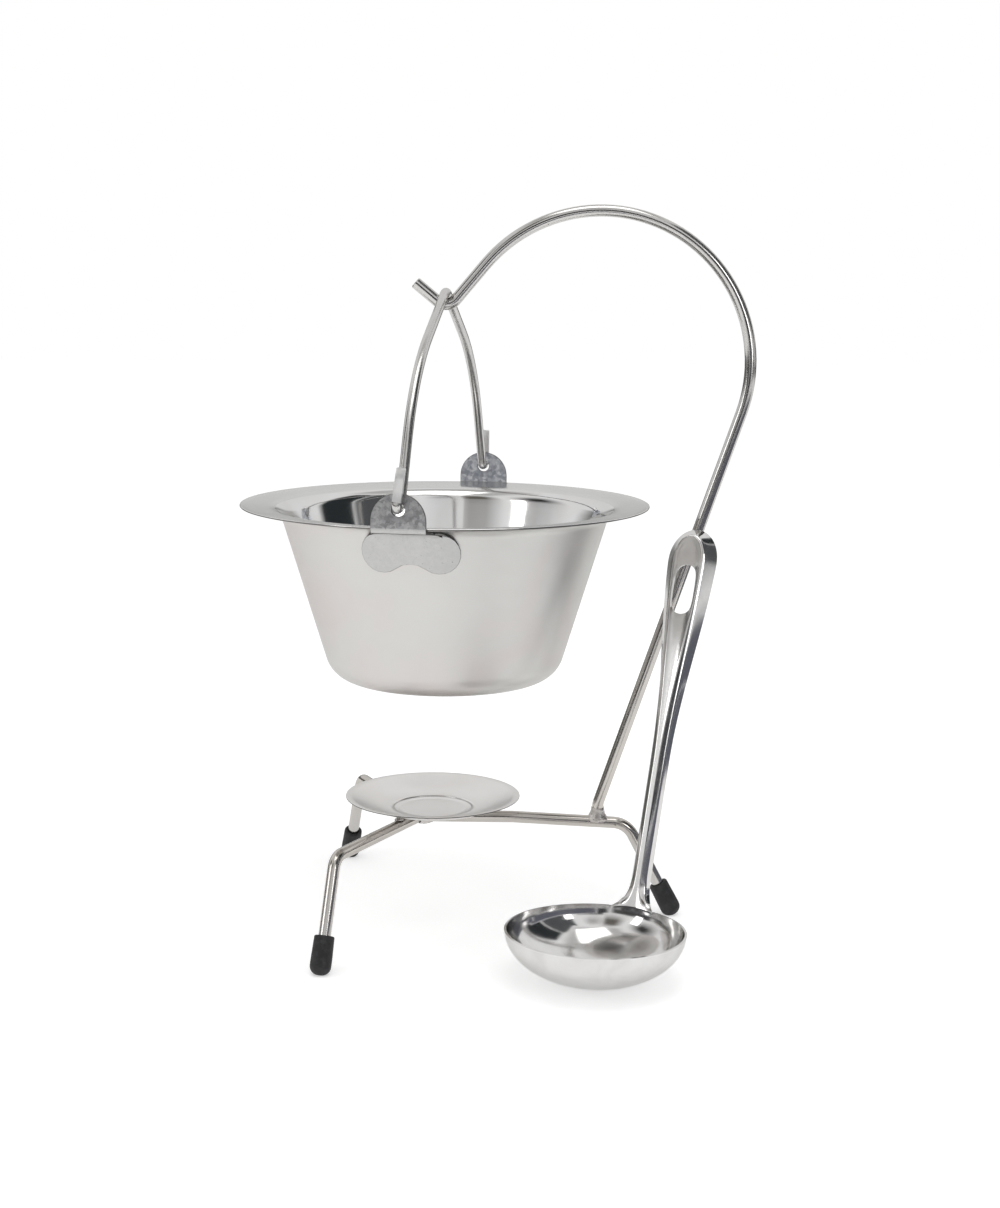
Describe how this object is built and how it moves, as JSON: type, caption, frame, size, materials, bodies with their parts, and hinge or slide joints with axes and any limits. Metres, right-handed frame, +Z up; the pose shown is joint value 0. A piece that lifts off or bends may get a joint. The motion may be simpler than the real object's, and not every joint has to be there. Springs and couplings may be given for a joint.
{
  "type": "mini cauldron on stand",
  "caption": "Polished stainless serving cauldron hanging by a wire bail from the hook of a bent-rod tripod stand with a burner dish, and a long-handled ladle leaning on the arm",
  "frame": {"origin": "middle of the burner dish's flat seat, on its upper face", "axes": "+Z is up; +X runs along the spine from the hub towards the arm; +Y is to the back, so the pot hangs over the dish and the feet stand below the origin"},
  "size_m": [0.2562, 0.2512, 0.3608],
  "materials": {
    "rod": "drawn stainless rod, satin with line highlights",
    "sheet": "satin stainless sheet outside, brighter inside",
    "ladle": "polished stainless",
    "zinc": "zinc-plated sheet, mottled grey",
    "weld": "weld metal with a brown heat tint",
    "rubber": "matte black rubber"
  },
  "bodies": {
    "stand": {"arm": "rod", "spine_leg": "rod", "left_legs": "rod", "burner_dish": "sheet", "back_foot_cap": "rubber", "front_foot_cap": "rubber", "right_foot_cap": "rubber", "arm_weld": "weld", "hub_weld": "weld", "spine_dish_weld": "weld", "back_dish_weld": "weld", "front_dish_weld": "weld"},
    "bail": {"bail": "rod"},
    "cauldron": {"cauldron": "sheet", "back_ear": "zinc", "front_ear": "zinc"},
    "ladle": {"ladle": "ladle"}
  },
  "joints": [
    {"name": "bail_swing", "type": "hinge", "parent": "stand", "child": "bail", "pos_m": [0.00584, 0, 0.25646], "axis": [1, 0, 0], "range_deg": [-30, 30]},
    {"name": "cauldron_tilt", "type": "hinge", "parent": "bail", "child": "cauldron", "pos_m": [0.00584, 0, 0.16721], "axis": [0.1616, 0.9869, 0], "range_deg": [-75, 75]},
    {"name": "ladle_lift", "type": "slide", "parent": "stand", "child": "ladle", "axis": [0.3993, -0.5691, 0.7188], "range_m": [0, 0.12]}
  ]
}
